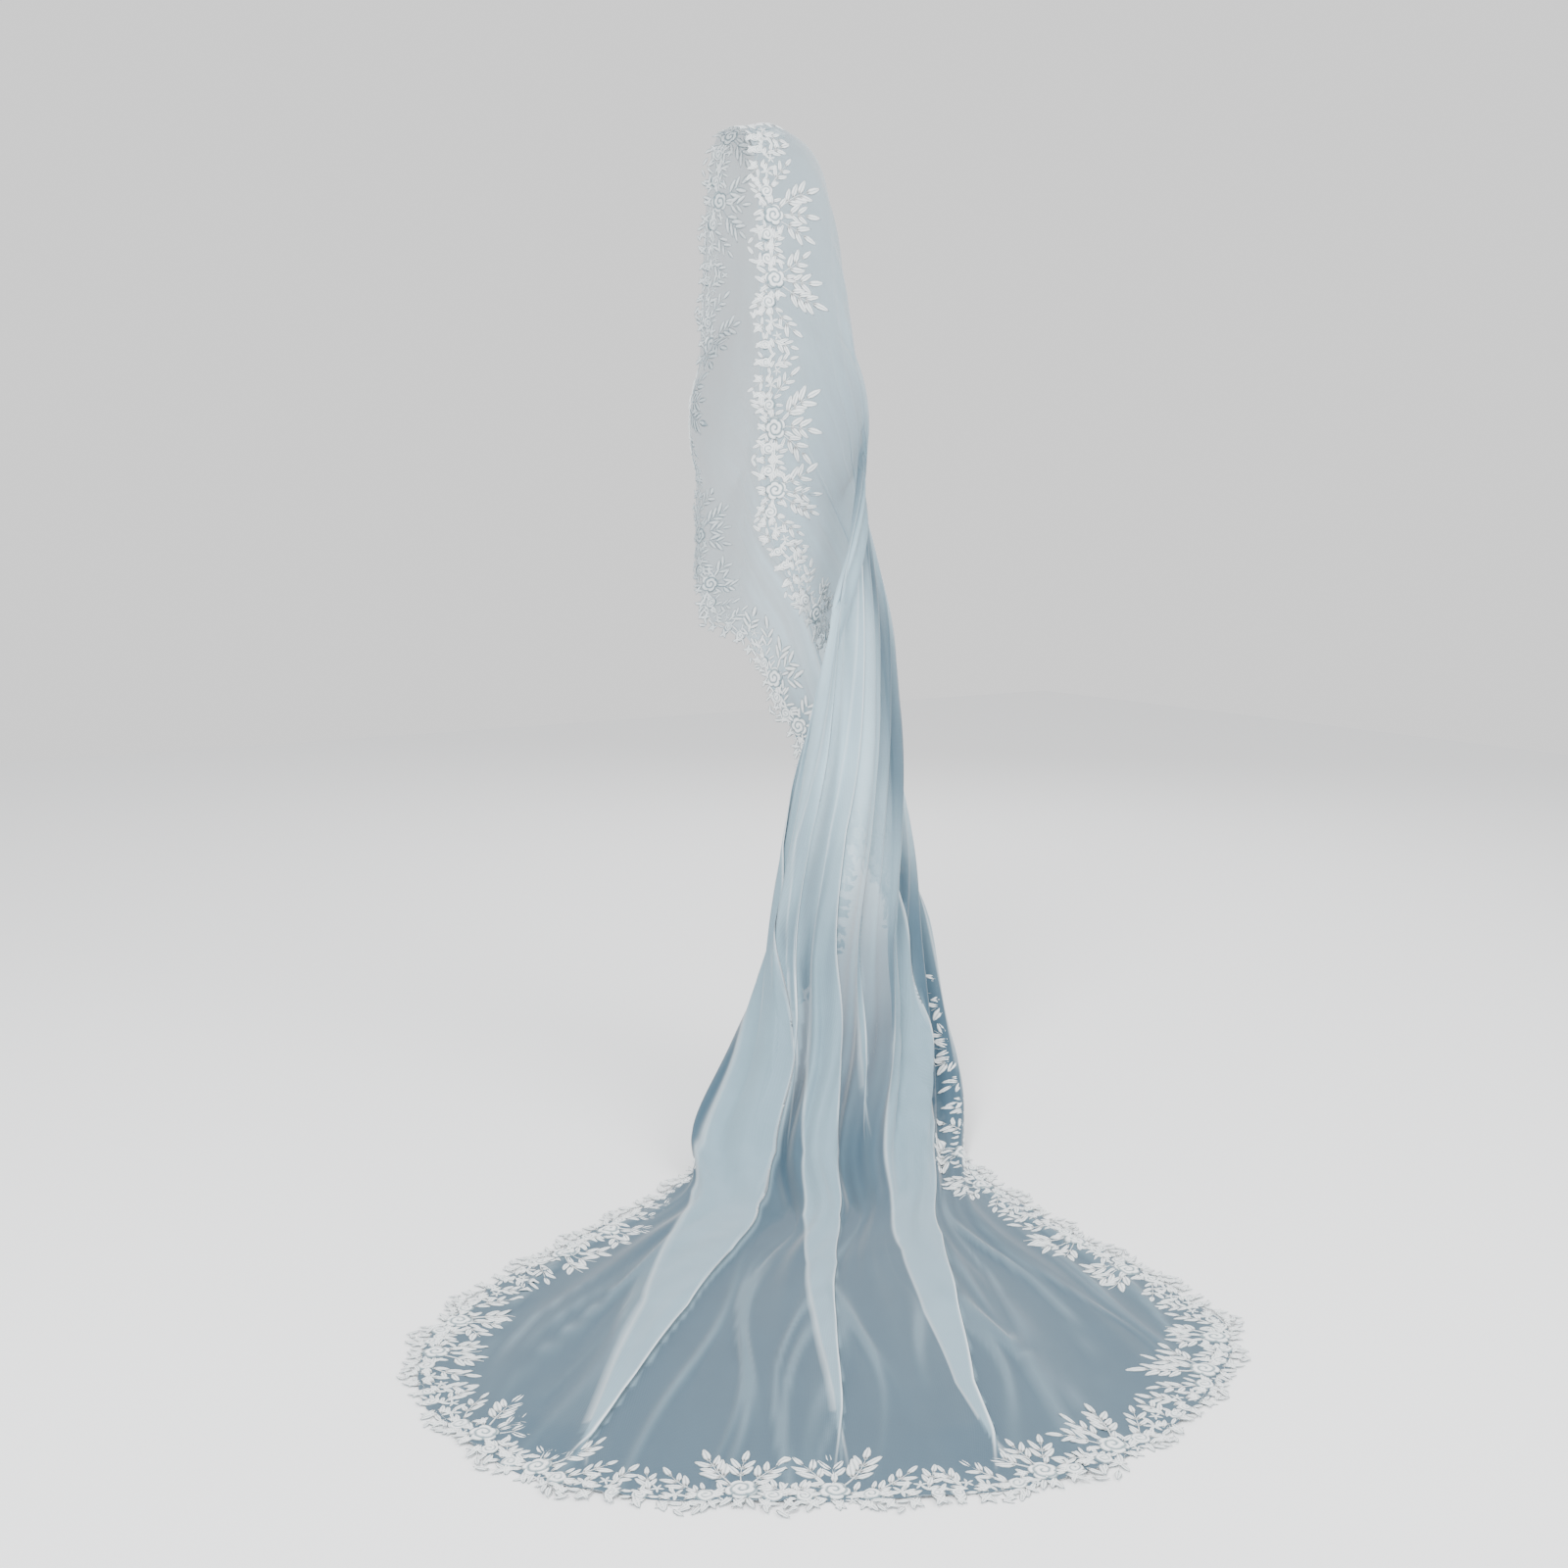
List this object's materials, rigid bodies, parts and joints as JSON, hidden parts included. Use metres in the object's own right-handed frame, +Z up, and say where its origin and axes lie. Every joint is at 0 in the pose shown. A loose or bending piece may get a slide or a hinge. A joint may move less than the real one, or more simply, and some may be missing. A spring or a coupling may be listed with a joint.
{
  "type": "lace bridal veil",
  "caption": "Cathedral-length mantilla bridal veil: one sheet of sheer tulle worn over the head, edged all round with corded rose-and-leaf lace, train swept to one side on the floor.",
  "frame": {"origin": "top of the head, on the crown where the veil sits", "axes": "+Z up, the wearer looks along -Y, the wearer's left is +X"},
  "size_m": [1.6807, 1.2725, 1.7511],
  "materials": {
    "tulle": "sheer nylon tulle with a fine hexagonal net, soft sheen",
    "lace": "matt white corded and embroidered rose-and-leaf lace",
    "comb": "plain clear-white moulded comb"
  },
  "bodies": {
    "root": {"tulle_veil": "tulle", "lace_left_side_01": "lace", "lace_left_side_02": "lace", "lace_left_side_03": "lace", "lace_left_side_04": "lace", "lace_left_side_05": "lace", "lace_left_side_06": "lace", "lace_left_side_07": "lace", "lace_left_side_08": "lace", "lace_left_side_09": "lace", "lace_left_side_10": "lace", "lace_left_side_11": "lace", "lace_left_side_12": "lace", "lace_right_side_01": "lace", "lace_right_side_02": "lace", "lace_right_side_03": "lace", "lace_right_side_04": "lace", "lace_right_side_05": "lace", "lace_right_side_06": "lace", "lace_right_side_07": "lace", "lace_right_side_08": "lace", "lace_right_side_09": "lace", "lace_right_side_10": "lace", "lace_right_side_11": "lace", "lace_right_side_12": "lace", "lace_face_01": "lace", "lace_face_02": "lace", "lace_face_03": "lace", "lace_face_04": "lace", "lace_face_05": "lace", "lace_face_06": "lace", "lace_face_07": "lace", "lace_face_08": "lace", "lace_train_01": "lace", "lace_train_02": "lace", "lace_train_03": "lace", "lace_train_04": "lace", "lace_train_05": "lace", "lace_train_06": "lace", "lace_train_07": "lace", "lace_corner_left_lobe": "lace", "lace_corner_right_lobe": "lace", "lace_corner_left_train": "lace", "lace_corner_right_train": "lace", "crown_comb": "comb"}
  },
  "joints": []
}
